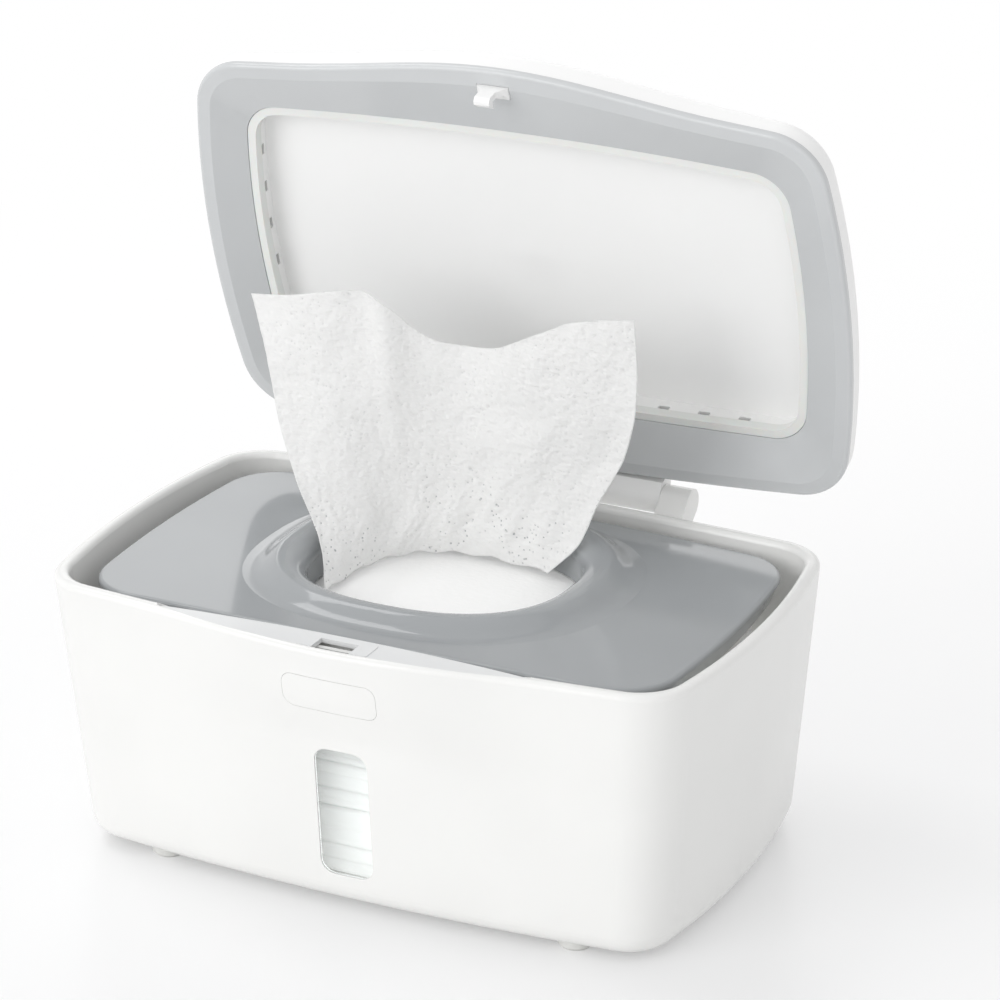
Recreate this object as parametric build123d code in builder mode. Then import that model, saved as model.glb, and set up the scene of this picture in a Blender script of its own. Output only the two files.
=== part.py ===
from build123d import *
import os
from math import copysign, cos, pi, sin, sqrt

# A tabletop dispenser for folded wipes: a tapered tub with a weighted plate on the stack,
# a hinged lid with a seal, and a push-button catch in the bulge of the front wall.
# X is right, Y is to the rear and Z is up. Everything is drawn about the tub's centre,
# with the lid closed, and the lid is then swung open.

# Outline of the rim, as a straight-sided box whose edges swell outwards
rim_width = 225.5
rim_depth = 137.5
rim_corner = 20.0
swell_front = 6.6
swell_back = 5.65
swell_side = 7.25
bulge = 5.6
bulge_half = 83.0
bulge_start = 39.8
bulge_full = 13.8

# Tub
tub_height = 99.8
foot_height = 2.5
taper_front = 8.4
taper_side = 8.0
taper_back = 2.0
base_corner = 17.0
base_round = 8.0
floor = 2.8
wall = 2.8
lip = 4.5
lip_round = 2.0

# Feet
foot_radius = 6.0
foot_side = 36.75
foot_end = 15.25
foot_recess = 1.7

# Window in the front wall
window_width = 19.2
window_low = 14.0
window_high = 61.0
window_corner = 5.0
pane_recess = 0.4
pane_flange = 2.6
pane_step = 1.6

# Hinge
hinge_behind = 13.65
hinge_above = 1.5
barrel_radius = 5.3
knuckle_half = 46.7
ear_length = 10.5
pin_radius = 2.0
running_gap = 0.05
coil_gap = 0.8
spring_turns = 5
side_gap = 0.15
lid_open = 75.3

# Lid
lid_margin = 0.5
rim_gap = 0.8
frame_thick = 2.5
frame_land = 4.5
frame_dish = 5.0
frame_round = 1.5
shell_gap = 0.3
shell_wall = 2.2
shell_inset = 0.3
shell_round = 8.0
dome_rise = 16.1
dome_radius = 1800.0
seal_side = 13.65
seal_before = 16.95
seal_behind = 17.35
seal_corner = 13.8
seal_swell_front = 3.9
seal_swell_back = 2.4
seal_swell_side = 4.05
seal_thick = 2.8
seal_height = 4.0
recess_wall = 1.6
snap_pitch = 15.1
snap_length = 4.2
snap_height = 1.8

# Latch: hook on the lid, button and sliding catch in the tub, each set back from the bulge
hook_back = 5.15
hook_thick = 2.2
hook_reach = 9.0
hook_base = 11.5
hook_nose = 5.6
barb = 2.4
deck_half = 73.0
deck_rim = 2.05
deck_reach = 15.25
deck_tip = 11.35
deck_thick = 1.3
deck_drop = 1.0
slot_width = 13.7
slot_reach = 10.95
button_width = 34.0
button_below = 22.8
button_above = 10.3
button_corner = 4.0
button_gap = 0.12
button_face = 5.05
button_travel = 2.6
catch_width = 28.0
catch_below = 21.6
catch_above = 11.8
catch_start = 4.45
catch_reach = 10.65
bar_reach = 7.75
bar_thick = 1.8
bar_half = 10.0
spring_radius = 2.4
spring_wire = 0.6
spring_reach = 6.55
spring_length = 6.8
spring_below = 16.8
housing_half = 33.0
housing_below = 24.8
housing_reach = 9.65
side_reach = 7.95
housing_front = 3.55
housing_wall = 1.7

# Plate that lies on the stack
plate_side = 9.7
plate_end = 8.75
plate_corner = 20.8
plate_swell_front = 0.8
plate_swell_back = 6.8
plate_swell_side = 3.96
plate_down = 3.8
cover_thick = 1.8
plate_thick = 10.0
plate_skin = 1.9
hole_half_x = 45.5
hole_half_y = 40.8
hole_y = 4.5
hole_power = 2.4
crest = 5.0
tube_wall = 2.5
screw_side = 13.05
screw_before = 17.0
screw_behind = 13.0
weight_side = 8.55
weight_hole = 7.5
weight_ends = 50.0
weight_y = 3.0
weight_thick = 3.5

# Folded stack and the wipe pulled up through the hole
stack_side = 13.75
stack_before = 18.75
stack_behind = 16.75
sheet = 1.0

# Places that follow from the sizes above
rim_front = -rim_depth / 2 - swell_front - bulge
bulge_low = tub_height - bulge_start
bulge_high = tub_height - bulge_full
foot_x = rim_width / 2 - foot_side
foot_y = rim_depth / 2 - foot_end
hinge_y = rim_depth / 2 + hinge_behind
hinge_z = tub_height + hinge_above
seal_width = rim_width - 2 * seal_side
seal_front = -rim_depth / 2 + seal_before
seal_back = rim_depth / 2 - seal_behind
hook_y = rim_front + hook_back
deck_front = rim_front + deck_rim
deck_back = rim_front + deck_reach
deck_end = rim_front + deck_tip
slot_back = rim_front + slot_reach
button_low = tub_height - button_below
button_high = tub_height - button_above
button_back = rim_front + button_face
catch_low = tub_height - catch_below
catch_high = tub_height - catch_above
catch_front = rim_front + catch_start
catch_back = rim_front + catch_reach
bar_front = rim_front + bar_reach
spring_front = rim_front + spring_reach
spring_height = tub_height - spring_below
housing_low = tub_height - housing_below
plate_width = rim_width - 2 * plate_side
plate_depth = rim_depth - 2 * plate_end
plate_top = tub_height - plate_down
plate_seam = plate_top - cover_thick
plate_bottom = plate_top - plate_thick
screw_x = plate_width / 2 - screw_side
screw_front = -plate_depth / 2 + screw_before
screw_back = plate_depth / 2 - screw_behind
weight_in = hole_half_x + tube_wall + weight_hole
weight_out = plate_width / 2 - weight_side
stack_half = rim_width / 2 - stack_side
stack_front = -rim_depth / 2 + stack_before
stack_back = rim_depth / 2 - stack_behind

os.makedirs("parts", exist_ok=True)


def outline(half, front, back, corner, swells, hump=0.0):
    """Rounded box whose edges swell; the front edge can carry a cosine hump in the middle."""
    out_front, out_back, out_side = swells
    reach = min(bulge_half, half - corner - 3)
    quarter = (half + reach) / 2
    middle = (front + back) / 2

    def edge(x):
        lift = cos(pi * x / (2 * reach)) ** 2 if abs(x) < reach else 0
        return front - out_front * (1 - (x / half) ** 2) - hump * lift

    slope = 2 * out_front * reach / half ** 2
    waist = [(reach * k / 4, edge(reach * k / 4)) for k in range(-4, 5)]
    with BuildSketch() as face:
        with BuildLine():
            ThreePointArc((-half, front), (-quarter, edge(-quarter)), waist[0])
            Spline(waist, tangents=[(1, -slope), (1, slope)])
            ThreePointArc(waist[-1], (quarter, edge(quarter)), (half, front))
            ThreePointArc((half, front), (half + out_side, middle), (half, back))
            ThreePointArc((half, back), (0, back + out_back), (-half, back))
            ThreePointArc((-half, back), (-half - out_side, middle), (-half, front))
        make_face()
        fillet([v for v in face.vertices() if abs(abs(v.X) - half) < 0.01], corner)
    return face.sketch


def smooth_step(value):
    """Rises from 0 to 1 with level ends."""
    value = min(max(value, 0), 1)
    return value * value * (3 - 2 * value)


def tub_section(z, inset, bulged=True):
    """Outline of the tub at one height, moved inwards by the inset."""
    down = (tub_height - z) / (tub_height - foot_height)
    hump = bulge * smooth_step((z - bulge_low) / (bulge_high - bulge_low)) if bulged else 0
    return outline(
        rim_width / 2 - taper_side * down - inset,
        -rim_depth / 2 + taper_front * down + inset,
        rim_depth / 2 - taper_back * down - inset,
        rim_corner - (rim_corner - base_corner) * down - inset,
        (swell_front, swell_back, swell_side),
        hump,
    )


def tub_form(inset, low, high):
    """Solid inside the tub's outer face, moved inwards by the inset."""
    between = [z for z in range(10, int(tub_height), 6) if low + 3 < z < high - 3]
    with BuildPart() as form:
        for z in [low] + between + [high]:
            with BuildSketch(Plane.XY.offset(z)):
                add(tub_section(z, inset))
        loft()
    return form.part


def ring(half_x, half_y):
    """Superellipse about the centre of the plate's hole."""
    points = []
    for k in range(32):
        c, s = cos(2 * pi * k / 32), sin(2 * pi * k / 32)
        x = half_x * copysign(abs(c) ** (2 / hole_power), c)
        y = half_y * copysign(abs(s) ** (2 / hole_power), s)
        points.append((x, hole_y + y))
    with BuildSketch() as face:
        with BuildLine():
            Spline(points, periodic=True)
        make_face()
    return face.sketch


def ring_form(levels):
    """Loft through superellipses, each given as height and two half-axes."""
    with BuildPart() as form:
        for z, half_x, half_y in levels:
            with BuildSketch(Plane.XY.offset(z)):
                add(ring(half_x, half_y))
        loft()
    return form.part


def prism(section, low, high):
    """Straight solid on a sketch."""
    with BuildPart() as form:
        with BuildSketch(Plane.XY.offset(low)):
            add(section)
        extrude(amount=high - low)
    return form.part


def wall_prism(width, low, high, corner, front, back):
    """Rounded rectangle seen from the front, run through from one y to another."""
    with BuildPart() as form:
        with BuildSketch(Plane.XZ.offset(-front)):
            with Locations((0, (low + high) / 2)):
                RectangleRounded(width, high - low, corner)
        extrude(amount=front - back)
    return form.part


def block(x, y, z):
    """Plain box between pairs of limits."""
    with BuildPart() as form:
        with BuildSketch(Plane.XY.offset(z[0])):
            with Locations(((x[0] + x[1]) / 2, (y[0] + y[1]) / 2)):
                Rectangle(x[1] - x[0], y[1] - y[0])
        extrude(amount=z[1] - z[0])
    return form.part


def barrel(start, end, radius):
    """Cylinder on the hinge axis."""
    with BuildPart() as form:
        with BuildSketch(Plane.YZ.offset(start)):
            with Locations((hinge_y, hinge_z)):
                Circle(radius)
        extrude(amount=end - start)
    return form.part


def arm(start, end, y, low, high):
    """Web from an upright strip of wall to the hinge barrel."""
    with BuildPart() as form:
        with BuildSketch(Plane.YZ.offset(start)):
            with Locations((hinge_y, hinge_z)):
                Circle(barrel_radius)
            with Locations((y, (low + high) / 2)):
                Rectangle(2, high - low)
            make_hull()
        extrude(amount=end - start)
    return form.part


def coil(radius, wire, length, turns):
    """Open coil along Z, one tube on quarter-turn biarcs."""
    rise = (length - wire) / turns

    def spot(k):
        return Vector(radius * cos(k * pi / 2), radius * sin(k * pi / 2), wire / 2 + rise * k / 4)

    def aim(k):
        way = Vector(-sin(k * pi / 2), cos(k * pi / 2), rise / (2 * pi * radius))
        return way.normalized()

    with BuildPart() as form:
        with BuildLine() as path:
            for k in range(int(4 * turns)):
                a, b, u, v = spot(k), spot(k + 1), aim(k), aim(k + 1)
                across, both, spread = b - a, u + v, 2 * (1 - u.dot(v))
                reach = (sqrt(across.dot(both) ** 2 + spread * across.dot(across)) - across.dot(both)) / spread
                joint = (a + b + (u - v) * reach) * 0.5
                TangentArc(a, joint, tangent=u)
                TangentArc(joint, b, tangent=across - both * reach)
        with BuildSketch(Plane(origin=path.line @ 0, z_dir=path.line % 0)):
            RegularPolygon(wire / 2, 6)
        sweep()
    print("coil gap", round(rise * cos(rise / (2 * pi * radius)) - wire, 2))
    return form.part


# Tub: tapered walls, rounded lip, front bulge with the latch housing, hinge ears
cavity_low = foot_height + floor
outer = tub_form(0, foot_height, tub_height)
with BuildPart() as hollow:
    with BuildSketch(Plane.XY.offset(cavity_low)):
        add(tub_section(cavity_low, wall, False))
    with BuildSketch(Plane.XY.offset(tub_height)):
        add(tub_section(tub_height, lip, False))
    loft()
    fillet(hollow.edges().group_by(Axis.Z)[0], 5)

beyond = rim_front - 10
inside = rim_front + 31
zone = (window_low - 6, window_high + 5)
pane_cut = wall_prism(window_width, window_low, window_high, window_corner, beyond, inside)
rebate_cut = wall_prism(
    window_width + 2 * pane_flange,
    window_low - pane_flange,
    window_high + pane_flange,
    window_corner + pane_flange,
    beyond,
    inside,
)
window_zone = tub_form(pane_step, *zone)
rebate = window_zone & rebate_cut
button_depth = button_back + button_travel + 0.2
button_cut = wall_prism(button_width, button_low, button_high, button_corner, beyond, button_depth)
deck_top = tub_height - deck_drop
deck_low = deck_top - deck_thick
pocket_front = -rim_depth / 2 - swell_front - bulge + housing_front
pocket_back = spring_front + spring_length + 0.1
pocket_half = catch_width / 2 + 1.4
side_front = rim_front + side_reach
housing_back = pocket_back + housing_wall
ear_start = knuckle_half + side_gap


def deck_section(grow):
    """Outline of the latch deck: two arcs that meet at its ends."""
    with BuildSketch() as face:
        with BuildLine():
            ThreePointArc((-deck_half - grow, deck_end), (0, deck_front - grow), (deck_half + grow, deck_end))
            ThreePointArc((deck_half + grow, deck_end), (0, deck_back + grow), (-deck_half - grow, deck_end))
        make_face()
        fillet(face.vertices(), 1.2)
    return face.sketch



with BuildPart() as tub_cuts:
    # Deck recess, catch pocket, two side pockets and the button hole
    add(prism(deck_section(0.15), deck_low, tub_height + 5))
    add(block((-pocket_half, pocket_half), (pocket_front, pocket_back), (catch_low - 0.3, tub_height + 5)))
    near, far = pocket_half + housing_wall, housing_half - housing_wall
    add(block((near, far), (side_front, pocket_back), (housing_low + 2, tub_height + 5)))
    add(block((-far, -near), (side_front, pocket_back), (housing_low + 2, tub_height + 5)))
    add(button_cut)
    # Window with its rebate
    add(pane_cut)
    add(rebate)
    # Foot recesses
    with BuildSketch(Plane.XY.offset(foot_height - 1)):
        with GridLocations(2 * foot_x, 2 * foot_y, 2, 2):
            Circle(foot_radius + 0.1)
    extrude(amount=foot_recess + 1.1)
    # Pin holes: open on the left, blind on the right
    add(barrel(-ear_start - ear_length - 1, -ear_start + 1, pin_radius + 0.02))
    add(barrel(ear_start - 1, ear_start + ear_length - 2.5, pin_radius + 0.02))

with BuildPart() as base_tub:
    add(outer)
    fillet(base_tub.edges().group_by(Axis.Z)[0], base_round)
    add(hollow.part, mode=Mode.SUBTRACT)
    fillet(base_tub.edges().group_by(Axis.Z)[-1], lip_round)
    # Latch housing behind the bulge
    add(block((-housing_half, housing_half), (rim_front + housing_reach, housing_back), (housing_low, deck_low)))
    # Hinge ears
    add(arm(-ear_start - ear_length, -ear_start, hinge_y - 11.4, tub_height - 13.8, tub_height - 3.8))
    add(arm(ear_start, ear_start + ear_length, hinge_y - 11.4, tub_height - 13.8, tub_height - 3.8))
    add(tub_cuts.part, mode=Mode.SUBTRACT)
base_tub.part.label = "base_tub"

# Clear pane, stepped so that it fits the window from inside
pane_outer = tub_form(pane_recess, *zone)
pane_inner = tub_form(wall - 0.1, *zone)
pane_back = tub_form(pane_step + 0.1, *zone)
pane_boss = wall_prism(
    window_width - 0.2,
    window_low + 0.1,
    window_high - 0.1,
    window_corner - 0.1,
    beyond,
    inside,
)
pane_plate = wall_prism(
    window_width + 2 * pane_flange - 0.2,
    window_low - pane_flange + 0.1,
    window_high + pane_flange - 0.1,
    window_corner + pane_flange - 0.1,
    beyond,
    inside,
)
with BuildPart() as window_pane:
    add(pane_plate)
    add(pane_back, mode=Mode.INTERSECT)
    add(pane_boss & pane_outer)
    add(pane_inner, mode=Mode.SUBTRACT)
window_pane.part.label = "window_pane"

# Latch deck: flat cover of the housing, notched for the hook
with BuildPart() as latch_deck:
    with BuildSketch(Plane.XY.offset(deck_low)):
        add(deck_section(0))
    extrude(amount=deck_thick)
    # Shallow frame round the slot
    with BuildSketch(Plane.XY.offset(deck_top)):
        with Locations((0, (pocket_front + deck_back) / 2 - 0.95)):
            RectangleRounded(25.5, 9.4, 1.0)
    extrude(amount=0.3)
    with BuildSketch(Plane.XY.offset(deck_low - 1)):
        with Locations((0, (pocket_front + slot_back) / 2)):
            Rectangle(slot_width, slot_back - pocket_front)
    extrude(amount=5, mode=Mode.SUBTRACT)
    # Lugs that grip the side pockets
    with BuildSketch(Plane.XY.offset(deck_low)):
        with Locations([(side * (near + far) / 2, (side_front + pocket_back) / 2) for side in (-1, 1)]):
            Rectangle(far - near - 0.2, pocket_back - side_front - 0.2)
    extrude(amount=-4)
latch_deck.part.label = "latch_deck"

# Button and sliding catch
with BuildPart() as release_button:
    add(outer)
    add(
        wall_prism(
            button_width - 2 * button_gap,
            button_low + button_gap,
            button_high - button_gap,
            button_corner - button_gap,
            beyond,
            button_back,
        ),
        mode=Mode.INTERSECT,
    )
    add(block((-catch_width / 2, catch_width / 2), (catch_front, catch_back), (catch_low, catch_high)))
    bar_back = bar_front + bar_thick
    riser = slot_width / 2 + 0.4
    add(block((riser, bar_half), (bar_front, bar_back), (catch_high - 1, deck_low - 0.3)))
    add(block((-bar_half, -riser), (bar_front, bar_back), (catch_high - 1, deck_low - 0.3)))
    add(block((-bar_half, bar_half), (bar_front, bar_back), (deck_low - 2.6, deck_low - 0.3)))
    # Bore for the spring, with a peg in the middle
    with BuildSketch(Plane.XZ.offset(-catch_back)):
        with Locations((0, spring_height)):
            Circle(spring_radius + 0.7)
            Circle(spring_radius - 0.8, mode=Mode.SUBTRACT)
    extrude(amount=catch_back - spring_front + 0.1, mode=Mode.SUBTRACT)
release_button.part.label = "release_button"

# Return spring of the button
seat = Plane(origin=(0, spring_front, spring_height), x_dir=(1, 0, 0), z_dir=(0, 1, 0))
release_spring = coil(spring_radius, spring_wire, spring_length, 3)
release_spring = release_spring.moved(seat.location)
release_spring.label = "release_spring"

# Feet
feet = {}
for name, x, y in (
    ("foot_front_left", -foot_x, -foot_y),
    ("foot_front_right", foot_x, -foot_y),
    ("foot_rear_left", -foot_x, foot_y),
    ("foot_rear_right", foot_x, foot_y),
):
    with BuildPart() as foot:
        with BuildSketch():
            with Locations((x, y)):
                Circle(foot_radius)
        extrude(amount=foot_height + foot_recess)
        chamfer(foot.edges().group_by(Axis.Z)[0], 1.0)
    foot.part.label = name
    feet[name] = foot.part

# Hinge pin and the torsion spring round it
hinge_pin = barrel(-ear_start - ear_length + 0.6, ear_start + ear_length - 2.8, pin_radius)
hinge_pin.label = "hinge_pin"
seat = Plane(origin=(-knuckle_half + 0.2, hinge_y, hinge_z), x_dir=(0, 1, 0), z_dir=(1, 0, 0))
hinge_spring = coil(pin_radius + coil_gap + 0.4, 0.8, 9.0, spring_turns)
hinge_spring = hinge_spring.moved(seat.location)
hinge_spring.label = "hinge_spring"

# Lid, drawn closed
frame_low = tub_height + rim_gap
shell_low = frame_low + frame_thick + shell_gap
seal_low = frame_low + frame_dish + 0.3


def lid_section(inset):
    """Outline of the lid, moved inwards by the inset and calmer towards the middle."""
    calm = 1 - max(inset, 0) / 40
    return outline(
        rim_width / 2 + lid_margin - inset,
        -rim_depth / 2 - lid_margin + inset,
        rim_depth / 2 + lid_margin - inset,
        rim_corner + lid_margin - inset,
        (swell_front * calm, swell_back * calm, swell_side * calm),
        bulge * (1 - max(inset, 0) / 22),
    )


def seal_section(inset):
    """Outline of the seal, moved inwards by the inset."""
    return outline(
        seal_width / 2 - inset,
        seal_front + inset,
        seal_back - inset,
        seal_corner - inset,
        (seal_swell_front, seal_swell_back, seal_swell_side),
    )


def crown_ball(thick):
    """Large ball whose top is the crown of the lid, moved inwards."""
    with BuildPart() as form:
        with Locations((0, 0, shell_low + dome_rise - dome_radius)):
            Sphere(dome_radius - thick)
    return form.part


def lid_form(thick):
    """Solid under the crown of the lid, moved inwards all round."""
    with BuildPart() as form:
        add(prism(lid_section(shell_inset + thick), shell_low - thick, shell_low + 30))
        add(crown_ball(thick), mode=Mode.INTERSECT)
        fillet(form.faces().sort_by(Axis.Z)[-1].edges(), shell_round - thick)
    return form.part


def swing(piece):
    """Opens a piece of the lid about the hinge axis."""
    return piece.rotate(Axis((0, hinge_y, hinge_z), (1, 0, 0)), -lid_open)


dome_outer = lid_form(0)
dome_inner = lid_form(shell_wall)
recess_low = seal_low + 1.2
snap_z = recess_low + 3.6
snap_y = [-31.3 + snap_pitch * k for k in range(4)]
snap_x = [side * (45 + snap_pitch * k) for k in range(3) for side in (-1, 1)]

# Wall round the recess, with its snap windows
with BuildPart() as recess_ring:
    add(prism(seal_section(seal_thick / 2 - recess_wall / 2), recess_low, shell_low + 21.6))
    add(prism(seal_section(seal_thick / 2 + recess_wall / 2), recess_low - 1, shell_low + 22.6), mode=Mode.SUBTRACT)
    add(crown_ball(shell_wall / 2), mode=Mode.INTERSECT)
    with BuildSketch(Plane.XY.offset(snap_z)):
        with Locations([(side * (seal_width / 2 + 1), y) for y in snap_y for side in (-1, 1)]):
            Rectangle(14, snap_length)
        with Locations([(x, y) for x in snap_x for y in (seal_front - 2, seal_back + 1)]):
            Rectangle(snap_length, 10)
    extrude(amount=snap_height, mode=Mode.SUBTRACT)

# Knuckle and the web that carries it
with BuildPart() as knuckle:
    add(arm(-knuckle_half, knuckle_half, hinge_y - 9.8, shell_low + 1.1, shell_low + 5.6))
    knuckle_front = rim_depth / 2 + swell_back + lid_margin + 0.4
    knuckle_side = knuckle_half + 13.3
    add(
        block((-knuckle_side, knuckle_side), (hinge_y - 22.4, knuckle_front), (shell_low - 13.4, shell_low)),
        mode=Mode.SUBTRACT,
    )
    add(barrel(-knuckle_half - 1, knuckle_half + 1, pin_radius + running_gap), mode=Mode.SUBTRACT)
    add(barrel(-knuckle_half - 1, -knuckle_half + 9.6, pin_radius + coil_gap + 1.4), mode=Mode.SUBTRACT)

with BuildPart() as lid_shell:
    add(dome_outer)
    add(dome_inner, mode=Mode.SUBTRACT)
    add(recess_ring.part)
    add(knuckle.part)
shell_open = swing(lid_shell.part)
shell_open.label = "lid_shell"

# Lid frame: level land at the rim, then dished up to the seal
with BuildPart() as frame_skin:
    with BuildSketch(Plane.XY.offset(frame_low + frame_thick - 0.1)):
        add(lid_section(shell_wall + 0.6))
    with BuildSketch(Plane.XY.offset(frame_low + frame_dish + frame_thick - 0.4)):
        add(seal_section(-2.4))
    loft()
with BuildPart() as frame_bowl:
    with BuildSketch(Plane.XY.offset(frame_low - 0.05)):
        add(lid_section(frame_land))
    with BuildSketch(Plane.XY.offset(frame_low + frame_dish)):
        add(seal_section(-0.15))
    loft()
with BuildPart() as lid_frame:
    add(prism(lid_section(0), frame_low, frame_low + frame_thick))
    fillet(lid_frame.edges().group_by(Axis.Z)[0], frame_round)
    add(frame_skin.part)
    add(frame_bowl.part, mode=Mode.SUBTRACT)
    add(prism(seal_section(-0.15), frame_low + frame_dish - 0.1, frame_low + 14.4), mode=Mode.SUBTRACT)
    add(
        block(
            (-hook_base / 2 - 0.15, hook_base / 2 + 0.15),
            (hook_y - 0.15, hook_y + hook_thick + barb + 0.15),
            (frame_low - 2, frame_low + 6),
        ),
        mode=Mode.SUBTRACT,
    )
frame_open = swing(lid_frame.part)
frame_open.label = "lid_frame"

# Seal: soft ring, grooved to grip the recess wall
groove = recess_wall / 2 + 0.1
with BuildPart() as lid_seal:
    add(prism(seal_section(0), seal_low, seal_low + seal_height))
    add(prism(seal_section(seal_thick), seal_low - 1, seal_low + seal_height + 1), mode=Mode.SUBTRACT)
    add(
        prism(seal_section(seal_thick / 2 - groove), recess_low - 0.1, seal_low + seal_height + 1)
        - prism(seal_section(seal_thick / 2 + groove), recess_low - 0.1, seal_low + seal_height + 1),
        mode=Mode.SUBTRACT,
    )
seal_open = swing(lid_seal.part)
seal_open.label = "lid_seal"

# Hook: tapered arm with a rounded nose and a barb towards the rear
nose_z = frame_low - hook_reach
barb_top = deck_low - 2.6 - 0.4
with BuildPart() as latch_hook:
    with BuildSketch(Plane.YZ.offset(-hook_base / 2)):
        with BuildLine():
            Polyline(
                (hook_y, frame_low + 4.5),
                (hook_y, nose_z + 1.2),
                (hook_y + 1.2, nose_z),
                (hook_y + 2.4, nose_z),
                (hook_y + hook_thick + barb, nose_z + 2.6),
                (hook_y + hook_thick + barb, barb_top),
                (hook_y + hook_thick, barb_top),
                (hook_y + hook_thick, frame_low - 1.5),
                (hook_y + hook_thick + barb, frame_low),
                (hook_y + hook_thick + barb, frame_low + 4.5),
                close=True,
            )
        make_face()
    extrude(amount=hook_base)
    with BuildSketch(Plane.XZ.offset(-hook_y - 15.8)):
        with BuildLine():
            Polyline(
                (-hook_base / 2, frame_low + 9.4),
                (-hook_base / 2, frame_low),
                (-hook_nose / 2, frame_low - 4),
                (-hook_nose / 2, nose_z - 1),
                (hook_nose / 2, nose_z - 1),
                (hook_nose / 2, frame_low - 4),
                (hook_base / 2, frame_low),
                (hook_base / 2, frame_low + 9.4),
                close=True,
            )
        make_face()
    extrude(amount=40, mode=Mode.INTERSECT)
    add(block((-9, 9), (hook_y - 1.2, hook_y + 6.3), (frame_low + 4.5, frame_low + 5.7)))
hook_open = swing(latch_hook.part)
hook_open.label = "latch_hook"


# Plate: glossy cover with a raised lip round the hole, tray below, weights between
def plate_section(inset):
    """Outline of the plate."""
    return outline(
        plate_width / 2 - inset,
        -plate_depth / 2 + inset,
        plate_depth / 2 - inset,
        plate_corner - inset,
        (plate_swell_front, plate_swell_back, plate_swell_side),
    )


flank = [
    (plate_top - 0.1, 22.5, 17.2),
    (plate_top + 0.4, 19.0, 15.0),
    (plate_top + 1.6, 15.5, 12.6),
    (plate_top + 3.3, 12.8, 10.7),
    (plate_top + 4.5, 10.8, 9.2),
    (plate_top + crest, 8.7, 7.6),
]
throat = [
    (plate_seam - 0.2, 0.0, 0.0),
    (plate_top, 0.2, 0.2),
    (plate_top + 2.0, 1.1, 1.0),
    (plate_top + 3.6, 2.8, 2.5),
    (plate_top + 4.7, 5.2, 4.6),
    (plate_top + crest + 0.02, 7.5, 6.6),
]
lip_solid = ring_form([(z, hole_half_x + a, hole_half_y + b) for z, a, b in flank])
lip_under = ring_form([(z - plate_skin, hole_half_x + a - 1.5, hole_half_y + b - 1.5) for z, a, b in flank])
lip_throat = ring_form([(z, hole_half_x + a, hole_half_y + b) for z, a, b in throat])
tube = prism(ring(hole_half_x + tube_wall, hole_half_y + tube_wall), plate_seam - 1, plate_top + crest + 1)
screw_spots = [(x, y) for x in (-screw_x, screw_x) for y in (screw_front, screw_back)]

with BuildPart() as plate_cover:
    add(prism(plate_section(0), plate_seam, plate_top))
    fillet(plate_cover.edges().group_by(Axis.Z)[-1], 1.4)
    add(lip_solid)
    add(lip_under - tube, mode=Mode.SUBTRACT)
    with BuildSketch(Plane.XY.offset(plate_seam)):
        with Locations(screw_spots):
            Circle(3.4)
    extrude(amount=-4.1)
    with BuildSketch(Plane.XY.offset(plate_seam - 5)):
        with Locations(screw_spots):
            Circle(1.5)
    extrude(amount=5.2, mode=Mode.SUBTRACT)
    add(lip_throat, mode=Mode.SUBTRACT)
plate_cover.part.label = "plate_cover"

with BuildPart() as plate_tray:
    with BuildSketch(Plane.XY.offset(plate_bottom)):
        add(plate_section(3.2))
    with BuildSketch(Plane.XY.offset(plate_seam - 0.1)):
        add(plate_section(0.4))
    loft()
    fillet(plate_tray.edges().group_by(Axis.Z)[0], 1.6)
    tube_ring = prism(ring(hole_half_x + tube_wall, hole_half_y + tube_wall), plate_bottom, plate_seam + 2)
    add(prism(plate_section(5.2), plate_bottom + 2, plate_seam + 1) - tube_ring, mode=Mode.SUBTRACT)
    add(prism(ring(hole_half_x, hole_half_y), plate_bottom - 1, plate_seam + 1), mode=Mode.SUBTRACT)
    with BuildSketch(Plane.XY.offset(plate_bottom + 1.9)):
        with Locations(screw_spots):
            Circle(4.6)
    extrude(amount=2.1)
    with BuildSketch(Plane.XY.offset(plate_bottom - 1)):
        with Locations(screw_spots):
            Circle(3.0)
    extrude(amount=3, mode=Mode.SUBTRACT)
    with BuildSketch(Plane.XY.offset(plate_bottom - 1)):
        with Locations(screw_spots):
            Circle(1.6)
    extrude(amount=8, mode=Mode.SUBTRACT)
plate_tray.part.label = "plate_tray"

with BuildPart() as plate_screws:
    with BuildSketch(Plane.XY.offset(plate_bottom + 0.2)):
        with Locations(screw_spots):
            Circle(2.7)
    extrude(amount=1.8)
    with BuildSketch(Plane.XY.offset(plate_bottom + 2)):
        with Locations(screw_spots):
            Circle(1.45)
    extrude(amount=5)
plate_screws.part.label = "plate_screws"

weights = {}
for name, side in (("weight_left", -1), ("weight_right", 1)):
    with BuildPart() as weight:
        with BuildSketch(Plane.XY.offset(plate_bottom + 2)):
            with Locations((side * (weight_in + weight_out) / 2, weight_y)):
                RectangleRounded(weight_out - weight_in, plate_depth - weight_ends, 5)
        extrude(amount=weight_thick)
    weight.part.label = name
    weights[name] = weight.part

# Stack of folded wipes, crowned where it swells into the hole
crown = [
    (plate_bottom - 0.4, 1.5, 1.5),
    (plate_bottom + 0.6, 2.2, 2.2),
    (plate_bottom + 1.8, 6.0, 5.6),
    (plate_bottom + 2.6, 14.0, 12.8),
    (plate_bottom + 3.0, 26.0, 24.0),
]
with BuildPart() as wipe_stack:
    with BuildSketch(Plane.XY.offset(cavity_low + 0.3)):
        add(outline(stack_half, stack_front, stack_back, 9, (1.5, 1.5, 1.0)))
    extrude(amount=plate_bottom - cavity_low - 0.6)
    fillet(wipe_stack.edges().group_by(Axis.Z)[-1], 3)
    add(ring_form([(z, hole_half_x - a, hole_half_y - b) for z, a, b in crown]))
wipe_stack.part.label = "wipe_stack"

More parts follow.
